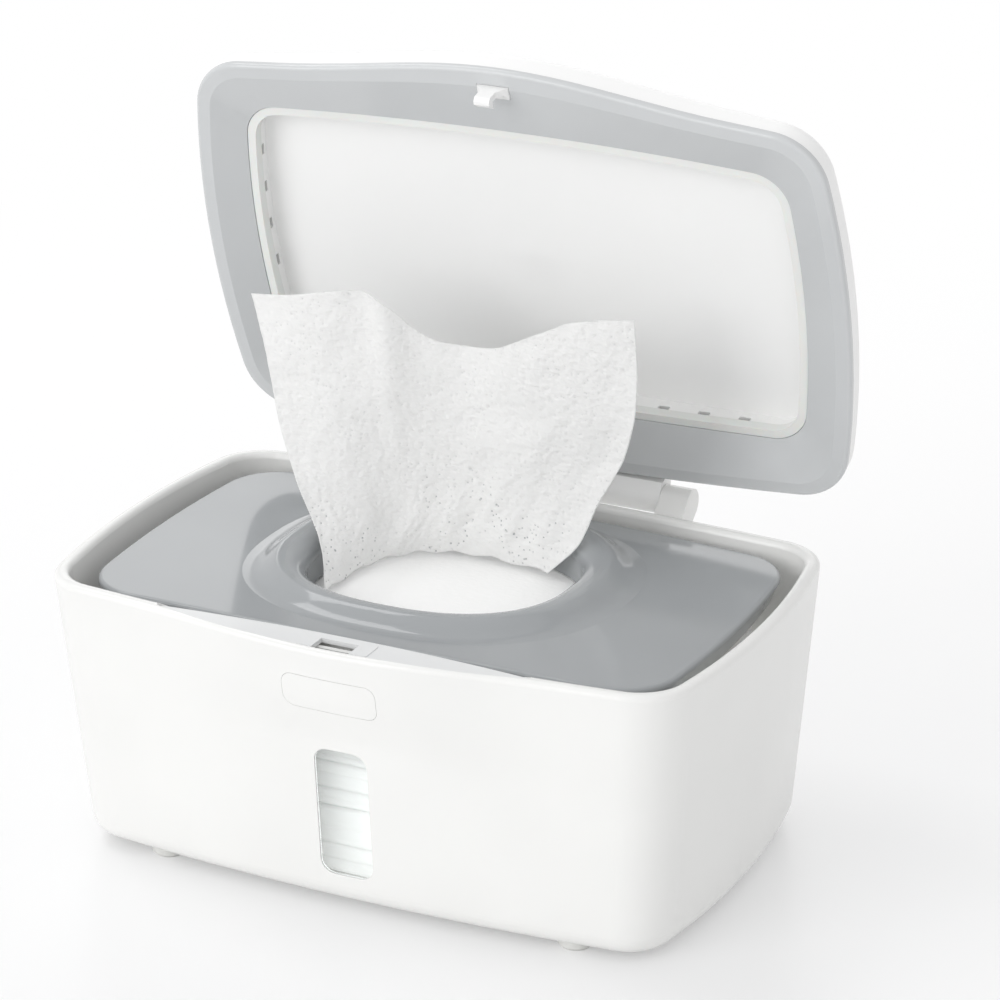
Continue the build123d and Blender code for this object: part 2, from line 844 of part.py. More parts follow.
# Pulled wipe: it leaves the hole along its left and rear edge and opens out above
folds = 6
wide = hole_half_x / 45.5
deep = hole_half_y / 40.8
rise = plate_top - 96
wipe_levels = [
    (89.7, (-34, -17), (-25, 26), (26, 31), 1.6),
    (101.0, (-43, -3), (-19, 29), (37, 32), 2.0),
    (117.0, (-56, 5), (-13, 30), (44, 33), 2.4),
    (135.0, (-67, 13), (-11, 30), (53, 34), 2.8),
    (155.0, (-75, 20), (-11, 30), (57, 34), 3.2),
    (184.0, (-88, 30), (-12, 31), (55, 35), 3.4),
]
top_edge = [
    (-100, 171),
    (-84, 175),
    (-56, 181),
    (-42, 178),
    (-34, 167),
    (-18, 164),
    (4, 171),
    (36, 181.5),
    (70, 183.5),
]


def over_hole(point):
    """Moves a point of the wipe with the plate's hole."""
    return point[0] * wide, hole_y + (point[1] - 4.5) * deep


def wipe_edge(left, middle, right, depth, side):
    """Points along the folded sheet, two to a fold, on its front or rear face."""
    points = []
    for k in range(2 * folds + 1):
        s = k / (2 * folds)
        a, b, c = (s - 0.45) * (s - 1) / 0.45, -s * (s - 1) / 0.2475, s * (s - 0.45) / 0.55
        x = a * left[0] + b * middle[0] + c * right[0]
        y = a * left[1] + b * middle[1] + c * right[1]
        da, db, dc = (2 * s - 1.45) / 0.45, -(2 * s - 1) / 0.2475, (2 * s - 0.45) / 0.55
        along = Vector(
            da * left[0] + db * middle[0] + dc * right[0],
            da * left[1] + db * middle[1] + dc * right[1],
        ).normalized()
        wave = depth * (1 if k % 4 == 1 else -1) if k % 2 else 0
        away = wave + side * sheet / 2
        points.append((x - along.Y * away, y + along.X * away))
    return points


with BuildPart() as pulled_wipe:
    for z, left, middle, right, depth in wipe_levels:
        left, middle, right = over_hole(left), over_hole(middle), over_hole(right)
        with BuildSketch(Plane.XY.offset(z + rise)):
            with BuildLine():
                near = wipe_edge(left, middle, right, depth, -1)
                far = wipe_edge(left, middle, right, depth, 1)
                for k in range(folds):
                    ThreePointArc(near[2 * k], near[2 * k + 1], near[2 * k + 2])
                Line(near[-1], far[-1])
                for k in reversed(range(folds)):
                    ThreePointArc(far[2 * k + 2], far[2 * k + 1], far[2 * k])
                Line(far[0], near[0])
            make_face()
    loft()
    # Top edge, high at both corners and slack between
    with BuildSketch(Plane.XZ.offset(60)):
        with BuildLine():
            edge = [(x * wide, z + rise) for x, z in top_edge]
            start, end = edge[0], edge[-1]
            Spline(edge)
            Line(end, (end[0], end[1] + 6.5))
            Line((end[0], end[1] + 6.5), (start[0], end[1] + 6.5))
            Line((start[0], end[1] + 6.5), start)
        make_face()
    extrude(amount=-120, mode=Mode.SUBTRACT)
pulled_wipe.part.label = "pulled_wipe"

# Place the origin on the table, under the middle of the open dispenser
pieces = [
    base_tub.part,
    window_pane.part,
    latch_deck.part,
    release_button.part,
    release_spring,
    hinge_pin,
    hinge_spring,
    shell_open,
    frame_open,
    seal_open,
    hook_open,
    plate_cover.part,
    plate_tray.part,
    plate_screws.part,
    wipe_stack.part,
    pulled_wipe.part,
]
pieces += list(feet.values())
pieces += list(weights.values())
front_y = min(piece.bounding_box().min.Y for piece in pieces)
rear_y = max(piece.bounding_box().max.Y for piece in pieces)
middle_y = (front_y + rear_y) / 2
for piece in pieces:
    placed = piece.moved(Location((0, -middle_y, 0)))
    placed.label = piece.label
    export_step(placed, "parts/" + piece.label + ".step")
print("hinge axis at y", round(hinge_y - middle_y, 3), "z", hinge_z)
print("middle y", round(middle_y, 3))
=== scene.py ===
import math
import bpy
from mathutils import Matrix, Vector, noise


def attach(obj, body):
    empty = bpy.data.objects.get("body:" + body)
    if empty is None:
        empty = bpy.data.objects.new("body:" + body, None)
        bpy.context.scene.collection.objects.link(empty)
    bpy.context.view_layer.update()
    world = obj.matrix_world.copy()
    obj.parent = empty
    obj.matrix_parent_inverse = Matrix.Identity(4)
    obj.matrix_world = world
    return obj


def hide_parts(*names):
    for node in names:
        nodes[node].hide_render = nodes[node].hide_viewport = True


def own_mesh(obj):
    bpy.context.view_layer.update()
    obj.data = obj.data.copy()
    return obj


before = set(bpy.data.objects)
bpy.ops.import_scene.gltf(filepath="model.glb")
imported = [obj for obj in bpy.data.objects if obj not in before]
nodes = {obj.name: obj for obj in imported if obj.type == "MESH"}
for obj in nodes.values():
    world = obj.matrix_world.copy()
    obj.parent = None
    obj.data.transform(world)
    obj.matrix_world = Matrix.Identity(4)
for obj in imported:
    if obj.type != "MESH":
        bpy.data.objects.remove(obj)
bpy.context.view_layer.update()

# Lengths are in millimetres and become metres through this, unless a comment says metres
MM = 0.001
# Where the tub's middle lies from front to back in the frame, in metres
TUB_Y = -0.007002
WHITE = (1, 1, 1, 1)

scene = bpy.context.scene


def at(x, y, z):
    """A point drawn about the tub's middle, in millimetres."""
    return Vector((x * MM, y * MM + TUB_Y, z * MM))


# Camera, standing to the right of the front and a little above

camera = bpy.data.objects.new("camera", bpy.data.cameras.new("camera"))
scene.collection.objects.link(camera)
scene.camera = camera
camera.data.lens = 137.16
camera.data.sensor_width = 36
camera.data.clip_end = 20
camera.location = at(528.6, -1050.2, 594.0)
aim = at(22.885, 0, 126.517) - camera.location
camera.rotation_euler = aim.to_track_quat("-Z", "Y").to_euler()


# Centre of the large ball whose top is the lid's crown, swung open with the lid about its hinge
HINGE_Y, HINGE_Z = 82.4, 101.3
SHELL_LOW, DOME_RISE, DOME_RADIUS = 103.4, 16.1, 1800
LID_OPEN = math.radians(-75.3)
arm_y = -HINGE_Y
arm_z = SHELL_LOW + DOME_RISE - DOME_RADIUS - HINGE_Z
BALL_CENTRE = at(
    0,
    HINGE_Y + arm_y * math.cos(LID_OPEN) - arm_z * math.sin(LID_OPEN),
    HINGE_Z + arm_y * math.sin(LID_OPEN) + arm_z * math.cos(LID_OPEN),
)


# Node helpers

def linear(hex_colour):
    """sRGB hex to linear RGBA."""
    out = []
    for i in (0, 2, 4):
        c = int(hex_colour[i:i + 2], 16) / 255
        out.append(c / 12.92 if c <= 0.04045 else ((c + 0.055) / 1.055) ** 2.4)
    return (*out, 1)


def add_node(tree, kind, inputs=None, **settings):
    """Adds a node; inputs are values, or sockets to link from."""
    n = tree.nodes.new(kind)
    for name, value in settings.items():
        setattr(n, name, value)
    for name, value in (inputs or {}).items():
        if isinstance(value, bpy.types.NodeSocket):
            tree.links.new(value, n.inputs[name])
        else:
            n.inputs[name].default_value = value
    return n


def first_node(tree, kind):
    """The tree's first node of a type."""
    return next(n for n in tree.nodes if n.type == kind)


def mottle(tree, place, size, detail):
    """Noise whose blobs are this many millimetres across."""
    return add_node(
        tree, "ShaderNodeTexNoise", {"Vector": place, "Scale": 1 / (size * MM), "Detail": detail}
    )


def ramp(tree, value, start, end, low, high):
    """Goes from low at start to high at end, and stays level beyond them."""
    return add_node(
        tree,
        "ShaderNodeMapRange",
        {"Value": value, "From Min": start, "From Max": end, "To Min": low, "To Max": high},
    ).outputs["Result"]


def product(tree, first, second):
    """Two values multiplied."""
    return add_node(
        tree, "ShaderNodeMath", {0: first, 1: second}, operation="MULTIPLY"
    ).outputs[0]


def mixed(tree, share, first, second):
    """The first shader, with this share of the second."""
    return add_node(
        tree, "ShaderNodeMixShader", {0: share, 1: first.outputs[0], 2: second.outputs[0]}
    ).outputs[0]


def bumped(tree, shader, height, strength, distance):
    """Small relief on the shader's surface."""
    bump = add_node(
        tree, "ShaderNodeBump", {"Height": height, "Strength": strength, "Distance": distance * MM}
    )
    tree.links.new(bump.outputs["Normal"], shader.inputs["Normal"])
    return bump


def uneven_polish(tree, shader, pattern, low, high):
    """Roughness that follows a noise from low to high."""
    roughness = ramp(tree, pattern.outputs["Fac"], 0, 1, low, high)
    tree.links.new(roughness, shader.inputs["Roughness"])


def show(tree, surface):
    """Puts another surface on the material's output."""
    tree.links.new(surface, first_node(tree, "OUTPUT_MATERIAL").inputs["Surface"])


def looked_at(tree):
    """1 for camera rays and for what gloss and clear plastic show, else 0."""
    rays = add_node(tree, "ShaderNodeLightPath")
    direct = add_node(
        tree,
        "ShaderNodeMath",
        {0: rays.outputs["Is Camera Ray"], 1: rays.outputs["Is Transmission Ray"]},
        operation="MAXIMUM",
    )
    return add_node(
        tree,
        "ShaderNodeMath",
        {0: direct.outputs[0], 1: rays.outputs["Is Glossy Ray"]},
        operation="MAXIMUM",
    ).outputs[0]


def new_material(name, **sockets):
    """A material with its surface shader, and the place in the object's own space."""
    material = bpy.data.materials.new(name)
    material.use_nodes = True
    tree = material.node_tree
    tree.nodes.clear()
    shader = add_node(tree, "ShaderNodeBsdfPrincipled", sockets)
    add_node(tree, "ShaderNodeOutputMaterial", {"Surface": shader.outputs[0]})
    place = add_node(tree, "ShaderNodeTexCoord").outputs["Object"]
    return material, tree, shader, place


# Materials

# Blob sizes of the colour and the polish, their spread, and the height of the ripples
FLOW_SIZE, POLISH_SIZE = 45, 20
FLOW_ENDS = (0.3, 0.7)
POLISH_SPREAD = 0.08
RIPPLE_HEIGHT = 0.1
ABS_IOR = 1.54


def moulded(name, low, high, rough, ior, ripple_size, ripple, **sockets):
    """Moulded plastic: a faint flow variation, uneven polish and long, shallow ripples."""
    material, tree, shader, place = new_material(name, IOR=ior, **sockets)
    flow = mottle(tree, place, FLOW_SIZE, 1)
    colour = add_node(tree, "ShaderNodeValToRGB", {"Fac": flow.outputs["Fac"]})
    for end, position, tone in zip(colour.color_ramp.elements, FLOW_ENDS, (low, high)):
        end.position = position
        end.color = linear(tone)
    tree.links.new(colour.outputs["Color"], shader.inputs["Base Color"])
    polish = mottle(tree, place, POLISH_SIZE, 1)
    uneven_polish(tree, shader, polish, rough * (1 - POLISH_SPREAD), rough * (1 + POLISH_SPREAD))
    wave = mottle(tree, place, ripple_size, 1)
    bumped(tree, shader, wave.outputs["Fac"], ripple, RIPPLE_HEIGHT)
    return material


# A face is taken as a part of the ball from the first of these cosines, and fully at the second
CROWN_NEAR, CROWN_SURE = 0.9985, 0.9993


def true_crown(material):
    """The lid's two crowned faces are parts of one ball: shade them with the ball's own normal."""
    tree = material.node_tree
    place = first_node(tree, "TEX_COORD").outputs["Object"]
    radial = add_node(
        tree, "ShaderNodeVectorMath", {0: place, 1: BALL_CENTRE}, operation="SUBTRACT"
    )
    turned = add_node(
        tree,
        "ShaderNodeVectorTransform",
        {0: radial.outputs[0]},
        vector_type="NORMAL",
        convert_from="OBJECT",
        convert_to="WORLD",
    )
    unit = add_node(tree, "ShaderNodeVectorMath", {0: turned.outputs[0]}, operation="NORMALIZE")
    shape = add_node(tree, "ShaderNodeNewGeometry")
    along = add_node(
        tree,
        "ShaderNodeVectorMath",
        {0: shape.outputs["True Normal"], 1: unit.outputs[0]},
        operation="DOT_PRODUCT",
    ).outputs["Value"]
    # The inner face looks towards the ball's centre
    side = add_node(tree, "ShaderNodeMath", {0: along}, operation="SIGN")
    faced = add_node(
        tree,
        "ShaderNodeVectorMath",
        {0: unit.outputs[0], "Scale": side.outputs[0]},
        operation="SCALE",
    )
    close = add_node(tree, "ShaderNodeMath", {0: along}, operation="ABSOLUTE")
    share = ramp(tree, close.outputs[0], CROWN_NEAR, CROWN_SURE, low=0, high=1)
    blend = add_node(tree, "ShaderNodeMix", {"Factor": share}, data_type="VECTOR")
    # Sockets of several kinds share a name here, so the vector ones are taken by number
    tree.links.new(shape.outputs["Normal"], blend.inputs[4])
    tree.links.new(faced.outputs[0], blend.inputs[5])
    tree.links.new(blend.outputs[1], first_node(tree, "BUMP").inputs["Normal"])


def let_through(tree, shader):
    """Thin clear plastic: shadow rays pass straight on, slightly dimmed."""
    rays = add_node(tree, "ShaderNodeLightPath")
    straight = add_node(tree, "ShaderNodeBsdfTransparent", {"Color": linear("F2F4F4")})
    show(tree, mixed(tree, rays.outputs["Is Shadow Ray"], shader, straight))


# White ABS, moulded and polished: bright, with soft broad reflections
white_abs = moulded(
    "white moulded abs", "EEEEEC", "F1F1EF", rough=0.24, ior=ABS_IOR, ripple_size=14, ripple=0.15
)
# The lid's ABS: more matt, so its large faces stay calm; its white is brighter than the tub's,
# partly a cleaner white and partly painted light that makes up for the shade on the lid's recessed
# panel
lid_abs = moulded(
    "brighter white abs", "F8F8F7", "F9F9F8", rough=0.42, ior=ABS_IOR, ripple_size=24, ripple=0.06
)
true_crown(lid_abs)
# Light grey ABS with a satin face
deck_abs = moulded(
    "satin light grey abs", "E8E9E9", "EBECEC", rough=0.38, ior=ABS_IOR, ripple_size=9, ripple=0.12
)
# Cool grey ABS, mirror-polished mould: deep reflections with a slight waviness
grey_abs = moulded(
    "polished grey abs", "9FA2A4", "A2A5A7", rough=0.09, ior=ABS_IOR, ripple_size=30, ripple=0.16
)
# The lid's frame is a paler grey of the same plastic, with a softer polish
pale_grey_abs = moulded(
    "polished pale grey abs", "CACCCD", "CDCFD0", rough=0.16, ior=ABS_IOR, ripple_size=22, ripple=0.2
)
# Silicone, compression moulded: satin and a little see-through at its edges
silicone = moulded(
    "white silicone rubber",
    "E8E8E5",
    "ECECE9",
    rough=0.5,
    ior=1.41,
    ripple_size=5,
    ripple=0.2,
    **{"Subsurface Weight": 0.15, "Subsurface Scale": 2 * MM},
)
# Soft elastomer of the feet: matt, without highlights
elastomer = moulded(
    "matt elastomer", "D9D9D6", "DEDEDB", rough=0.62, ior=1.5, ripple_size=3, ripple=0.3
)

# Crystal polystyrene, moulded clear: bright glints with a faint haze
clear, tree, shader, place = new_material(
    "clear moulded polystyrene",
    **{"Base Color": linear("F7FAFA"), "IOR": 1.59, "Transmission Weight": 1.0},
)
haze = mottle(tree, place, size=12, detail=3)
uneven_polish(tree, shader, haze, low=0.02, high=0.06)
let_through(tree, shader)

# Drawn steel: bright, with fine lines along the draw
steel, tree, shader, place = new_material(
    "drawn steel", **{"Base Color": linear("B9BABC"), "Metallic": 1.0}
)
lines = add_node(tree, "ShaderNodeMapping", {"Vector": place, "Scale": (200, 4000, 4000)})
grain = add_node(tree, "ShaderNodeTexNoise", {"Vector": lines.outputs[0], "Scale": 1, "Detail": 2})
uneven_polish(tree, shader, grain, low=0.18, high=0.38)

# Pattern of the wipes: dimples, how far they are bent out of their grid, and how tall they are
DIMPLE_SIZE, DIMPLE_HEIGHT = 1.9, 0.9
BEND_SIZE, BEND_REACH = 4, 1.1
# How strongly the fibres show beside the dimples, and their fineness along each axis
FIBRE_SHARE, FIBRE_LAY = 0.6, (700, 700, 1800)
# Patches with open pits, whose shade is painted, and the heights between which most pits close
PATCH_SIZE, PATCH_ENDS = 22, (0.42, 0.58)
GATHERED_TOP, CALM_FROM, CALM_SHARE = 105, 125, 0.3
# A pit is open within the first of these shares of a dimple and closed beyond the second
PIT_ENDS = (0.05, 0.22)


def nonwoven(name, emboss, pits, glow, **sockets):
    """Embossed nonwoven: dimples, painted shade in pits where it is gathered, and light through the
    sheet.
    """
    material, tree, shader, place = new_material(
        name, **{"Roughness": 0.8, "Sheen Weight": 0.2, "Sheen Roughness": 0.5}, **sockets
    )
    warp = mottle(tree, place, BEND_SIZE, 2)
    bent = add_node(
        tree,
        "ShaderNodeVectorMath",
        {0: warp.outputs["Color"], 1: [BEND_REACH * MM] * 3, 2: place},
        operation="MULTIPLY_ADD",
    )
    cells = add_node(
        tree,
        "ShaderNodeTexVoronoi",
        {"Vector": bent.outputs[0], "Scale": 1 / (DIMPLE_SIZE * MM), "Randomness": 0.8},
        feature="SMOOTH_F1",
    ).outputs["Distance"]
    lay = add_node(tree, "ShaderNodeMapping", {"Vector": place, "Scale": FIBRE_LAY})
    fibres = add_node(
        tree,
        "ShaderNodeTexNoise",
        {"Vector": lay.outputs[0], "Scale": 1, "Detail": 4, "Roughness": 0.6, "Distortion": 1},
    )
    height = add_node(
        tree,
        "ShaderNodeMath",
        {0: fibres.outputs["Fac"], 1: FIBRE_SHARE, 2: cells},
        operation="MULTIPLY_ADD",
    )
    bump = bumped(tree, shader, height.outputs[0], emboss, DIMPLE_HEIGHT)
    # Painted shade of the pits: darker at the middle of the dimples, in patches, and mostly low down
    patch = mottle(tree, place, PATCH_SIZE, 3).outputs["Fac"]
    pitted = ramp(tree, patch, *PATCH_ENDS, low=0, high=pits)
    level = add_node(tree, "ShaderNodeSeparateXYZ", {0: place}).outputs["Z"]
    gathered = ramp(tree, level, GATHERED_TOP * MM, CALM_FROM * MM, low=1, high=CALM_SHARE)
    middle = ramp(tree, cells, *PIT_ENDS, low=1, high=0)
    pit_shade_share = product(tree, product(tree, pitted, gathered), middle)
    # Painted shade: the pits' colour runs from the cloth's white to a dark grey for the shade inside
    # them
    pit_shade_colour = add_node(tree, "ShaderNodeValToRGB", {"Fac": pit_shade_share})
    pit_shade_colour.color_ramp.elements[0].color = linear("FAFAF9")
    pit_shade_colour.color_ramp.elements[1].color = linear("A4A6A8")
    tree.links.new(pit_shade_colour.outputs["Color"], shader.inputs["Base Color"])
    through_sheet = add_node(
        tree,
        "ShaderNodeBsdfTranslucent",
        {"Color": pit_shade_colour.outputs["Color"], "Normal": bump.outputs["Normal"]},
    )
    show(tree, mixed(tree, glow, shader, through_sheet))
    return material


def painted_glow_inside(material):
    """Painted glow on the stack: emission that stands in for the light the white walls and damp
    layers pass on to each other inside the tub, with painted light and shade by place.
    """
    tree = material.node_tree
    place = first_node(tree, "TEX_COORD").outputs["Object"]
    parts = add_node(tree, "ShaderNodeSeparateXYZ", {0: place})
    # Painted light and shade: the glow is brighter low down and towards the right of the window, and
    # dimmer above and to the left, where the tub's walls shade the stack
    level = ramp(tree, parts.outputs["Z"], 45 * MM, 57 * MM, low=1, high=0.12)
    side = ramp(tree, parts.outputs["X"], -18.5 * MM, -8 * MM, low=0.2, high=0.54)
    # Painted shade in the fold lines: the glow is cut where a fold line is pressed in
    fold = add_node(tree, "ShaderNodeAttribute", attribute_name="pressed")
    fold_painted_shade = ramp(tree, fold.outputs["Fac"], 0.1, 1, low=1, high=0.25)
    strength = product(tree, product(tree, level, side), fold_painted_shade)
    shader = first_node(tree, "BSDF_PRINCIPLED")
    tree.links.new(strength, shader.inputs["Emission Strength"])
    shader.inputs["Emission Color"].default_value = linear("F8F8F7")


# The pulled wipe: soft and matt with dimples and painted shade in its pits, and a faint painted
# glow, emission that stands in for the light its fibres scatter between them
wipe_cloth = nonwoven(
    "embossed nonwoven",
    emboss=0.8,
    pits=1.0,
    glow=0.16,
    **{"Emission Color": linear("FAFAF9"), "Emission Strength": 0.05},
)
# The stack: the same cloth pressed nearly smooth, with a painted glow that brightens it through the
# window
stack_cloth = nonwoven("folded nonwoven", emboss=0.12, pits=0.0, glow=0.0)
painted_glow_inside(stack_cloth)


def wear(material, *names):
    """Gives CAD nodes their finish."""
    for name in names:
        mesh = nodes[name].data
        mesh.materials.clear()
        mesh.materials.append(material)


wear(white_abs, "base_tub", "release_button")
wear(lid_abs, "lid_shell", "latch_hook")
wear(deck_abs, "latch_deck")
wear(pale_grey_abs, "lid_frame")
wear(grey_abs, "plate_cover", "plate_tray")
wear(silicone, "lid_seal")
wear(clear, "window_pane")
wear(elastomer, "foot_front_left", "foot_front_right", "foot_rear_left", "foot_rear_right")
wear(steel, "hinge_pin", "hinge_spring", "plate_screws", "weight_left", "weight_right")


# Shape helpers

def make_piece(name, points, faces, material):
    """A smooth-shaded mesh object."""
    mesh = bpy.data.meshes.new(name)
    mesh.from_pydata(points, [], faces)
    mesh.validate()
    mesh.polygons.foreach_set("use_smooth", [True] * len(mesh.polygons))
    mesh.materials.append(material)
    mesh.update()
    obj = bpy.data.objects.new(name, mesh)
    scene.collection.objects.link(obj)
    return obj


def grid_faces(rows, columns, closed=False):
    """Quads of a grid, row after row."""
    faces = []
    for i in range(rows - 1):
        low, high = i * columns, (i + 1) * columns
        for j in range(columns if closed else columns - 1):
            k = (j + 1) % columns
            faces.append((low + j, low + k, high + k, high + j))
    return faces


def clamp(value):
    """The value kept between 0 and 1."""
    return min(max(value, 0), 1)


def bell(s, centre, width):
    """Smooth hump."""
    return math.exp(-((s - centre) / width) ** 2)


# Stack of folded wipes: pressed layers at the sides, swollen into the plate's hole

STACK_LOW, STACK_HIGH = 5.8, 85.4
STACK_HALF, STACK_FRONT, STACK_BACK = 99.6, -51.0, 53.0
STACK_CORNER = 0.28
OUTLINE_POINTS = 220
# Height of each fold line and how deep it is pressed in
FOLDS = [
    (5.8, 0.4),
    (10.4, 0.5),
    (15.9, 1.0),
    (22.6, 0.3),
    (29.7, 1.6),
    (33.0, 0.25),
    (36.2, 1.3),
    (41.6, 0.3),
    (45.3, 1.1),
    (48.2, 0.7),
    (53.4, 0.3),
    (58.0, 0.9),
    (62.8, 0.4),
    (66.5, 0.9),
    (71.6, 0.4),
    (75.9, 0.8),
    (80.7, 0.4),
    (85.4, 0.6),
]
LAYER_STEPS = 9
# Width of a fold line, and the share of its depth that it keeps where it fades
FOLD_WIDTH, FOLD_KEPT = 0.55, 0.35
# Layers lie this far inside the outline, and slip this much against each other
SIDE_INSET, SIDE_SLIP = 0.3, 0.2
# The layers' waves die down over this distance to the stack's bottom and top
LEVEL_ENDS = 6
# The plate's hole and the power of its oval
HOLE_HALF_X, HOLE_HALF_Y, HOLE_Y = 45.0, 40.2, 4.5
OVAL = 2.4
# The swelling's height, how flat its top is and how softly its edge rises
SWELL, SWELL_FLAT, SWELL_EDGE = 3.4, 2.6, 0.75
TOP_RINGS, TOP_SHARE = 46, 0.995


def stack_outline():
    """Points of the stack's rounded rectangle, each with its outward share along y."""
    middle = (STACK_FRONT + STACK_BACK) / 2
    outline = []
    for k in range(OUTLINE_POINTS):
        turn = 2 * math.pi * (k + 0.5) / OUTLINE_POINTS
        c, s = math.cos(turn), math.sin(turn)
        x = math.copysign(abs(c) ** STACK_CORNER, c)
        y = math.copysign(abs(s) ** STACK_CORNER, s)
        outline.append((x * STACK_HALF, middle + y * (STACK_BACK - STACK_FRONT) / 2, s))
    return outline


def fold_share(x, y, line):
    """Each fold line fades out and comes back along the side."""
    strength = clamp(0.6 + 1.6 * noise.noise((x * 0.035, y * 0.035, line * 2.3)))
    return FOLD_KEPT + (1 - FOLD_KEPT) * strength


def crown(x, y):
    """Height of the stack's top: flat under the plate, swollen inside the hole."""
    r = (abs(x / HOLE_HALF_X) ** OVAL + abs((y - HOLE_Y) / HOLE_HALF_Y) ** OVAL) ** (1 / OVAL)
    lift = max(0.0, 1 - r ** SWELL_FLAT) ** SWELL_EDGE
    ripple = noise.noise((x * 0.05, y * 0.05, 7.0)) * 0.35
    return STACK_HIGH + lift * (SWELL + ripple)


outline = stack_outline()
points = []
pressed = []
side_rows = LAYER_STEPS * (len(FOLDS) - 1) + 1
for i in range(side_rows):
    layer, step = divmod(i, LAYER_STEPS)
    low, deep = FOLDS[layer]
    high, next_deep = FOLDS[min(layer + 1, len(FOLDS) - 1)]
    t = step / LAYER_STEPS
    z = low + (high - low) * (t * t * (3 - 2 * t))
    here = deep * bell(z, low, FOLD_WIDTH)
    above = next_deep * bell(z, high, FOLD_WIDTH)
    calm = min(1, (z - STACK_LOW) / LEVEL_ENDS, (STACK_HIGH - z) / LEVEL_ENDS)
    for x, y, outward in outline:
        groove = max(here * fold_share(x, y, layer), above * fold_share(x, y, layer + 1))
        pressed.append(groove)
        slip = SIDE_SLIP * noise.noise((x * 0.012, y * 0.012, layer * 3.7 + t))
        inset = SIDE_INSET + groove + slip
        # Broad waves of the layers, and small ones on them
        wave = 1.1 * noise.noise((x * 0.02, y * 0.02, z * 0.05))
        wave += 0.3 * noise.noise((x * 0.06, y * 0.06, z * 0.2))
        points.append(at(x - inset * x / 100, y - inset * outward, z + wave * calm))
for i in range(1, TOP_RINGS + 1):
    share = 1 - i / TOP_RINGS
    for x, y, outward in outline:
        px = x * share * TOP_SHARE
        py = HOLE_Y + (y - HOLE_Y) * share * TOP_SHARE
        points.append(at(px, py, crown(px, py)))
faces = grid_faces(side_rows + TOP_RINGS, OUTLINE_POINTS, closed=True)
faces.append(tuple(reversed(range(OUTLINE_POINTS))))
stack = make_piece("stack_of_wipes", points, faces, stack_cloth)
groove_depth = stack.data.attributes.new("pressed", "FLOAT", "POINT")
groove_depth.data.foreach_set("value", pressed + [0.0] * (len(points) - len(pressed)))
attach(stack, "base")
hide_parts("wipe_stack")
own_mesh(stack)

# Return spring of the button: a coil that the button presses together

WIRE_RADIUS, COIL_RADIUS = 0.3, 2.4
COIL_START, COIL_LENGTH, COIL_HEIGHT = -74.4, 6.8, 83.0
TURNS, TURN_STEPS, WIRE_SIDES = 4.6, 34, 12
# Each end is wound close for this share of the wire, and takes this much of the length
CLOSE_SHARE, CLOSE_LENGTH = 0.17, 0.75

open_length = COIL_LENGTH - 2 * WIRE_RADIUS - 2 * CLOSE_LENGTH
coil_steps = int(TURNS * TURN_STEPS)
points = []
for i in range(coil_steps + 1):
    u = i / coil_steps
    turn = 2 * math.pi * TURNS * u
    front_end = CLOSE_LENGTH * clamp(u / CLOSE_SHARE)
    open_part = open_length * clamp((u - CLOSE_SHARE) / (1 - 2 * CLOSE_SHARE))
    rear_end = CLOSE_LENGTH * clamp((u - 1 + CLOSE_SHARE) / CLOSE_SHARE)
    along = COIL_START + WIRE_RADIUS + front_end + open_part + rear_end
    for k in range(WIRE_SIDES):
        a = 2 * math.pi * k / WIRE_SIDES
        r = COIL_RADIUS + WIRE_RADIUS * math.cos(a)
        points.append(
            at(
                r * math.cos(turn),
                along + WIRE_RADIUS * math.sin(a),
                COIL_HEIGHT - r * math.sin(turn),
            )
        )
faces = grid_faces(coil_steps + 1, WIRE_SIDES, closed=True)
faces.append(tuple(range(WIRE_SIDES)))
faces.append(tuple(reversed(range(coil_steps * WIRE_SIDES, (coil_steps + 1) * WIRE_SIDES))))
return_coil = make_piece("return_coil", points, faces, steel)
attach(return_coil, "base")
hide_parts("release_spring")
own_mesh(return_coil)

# Pulled wipe: it leaves the hole along its left and rear edge and opens out above

# Each level gives its height, left end, middle and right end
LEVELS = [
    (89.0, (-34, -17), (-25, 26), (26, 31)),
    (101.0, (-43, -3), (-19, 29), (37, 32)),
    (117.0, (-56, 5), (-13, 30), (44, 33)),
    (135.0, (-67, 13), (-11, 30), (53, 34)),
    (155.0, (-75, 20), (-11, 30), (57, 34)),
    (184.0, (-88, 30), (-12, 31), (55, 35)),
]
# Height of the top edge at shares of the way from the left end to the right end
TOP_EDGE = [
    (0.0, 174.8),
    (0.1, 177.6),
    (0.2, 180.6),
    (0.27, 180.6),
    (0.315, 176.5),
    (0.35, 169.5),
    (0.4, 165.0),
    (0.48, 163.6),
    (0.58, 167.0),
    (0.7, 174.5),
    (0.8, 180.3),
    (0.9, 182.4),
    (1.0, 183.0),
]
HEIGHTS = [level[0] for level in LEVELS]
TRACKS = [[[level[k][axis] for level in LEVELS] for axis in (0, 1)] for k in (1, 2, 3)]
TOP_AT, TOP_Z = zip(*TOP_EDGE)
# Share of the way at which a level's middle point lies
MIDDLE = 0.45
FOOT_Z = 89.0
# Broad lobes left and right with a valley between, and a soft fold that rolls over at the right
# end of the left lobe: where each lies, its width, how far it stands off, and how it opens upwards
LOBES = (
    (0.17, 0.12, -5.5, 0.7),
    (0.44, 0.13, 7.0, 1.7),
    (0.78, 0.16, -3.5, 0.7),
    (0.3, 0.035, -4.5, 2),
)
# Ridges that stand on the hole's edge: where each starts, where it leans to, and its height
RIDGES = ((0.36, 0.4, 1.6), (0.62, 0.52, 2.2), (0.84, 0.7, 2.0), (0.96, 0.82, 1.5))
# Shares of the wipe's height at which the ridges are gone and at which they have leant over
RIDGES_END, RIDGES_LEANT = 0.34, 0.25
WIPE_COLUMNS, WIPE_ROWS = 240, 150
WIPE_THICK = 0.35


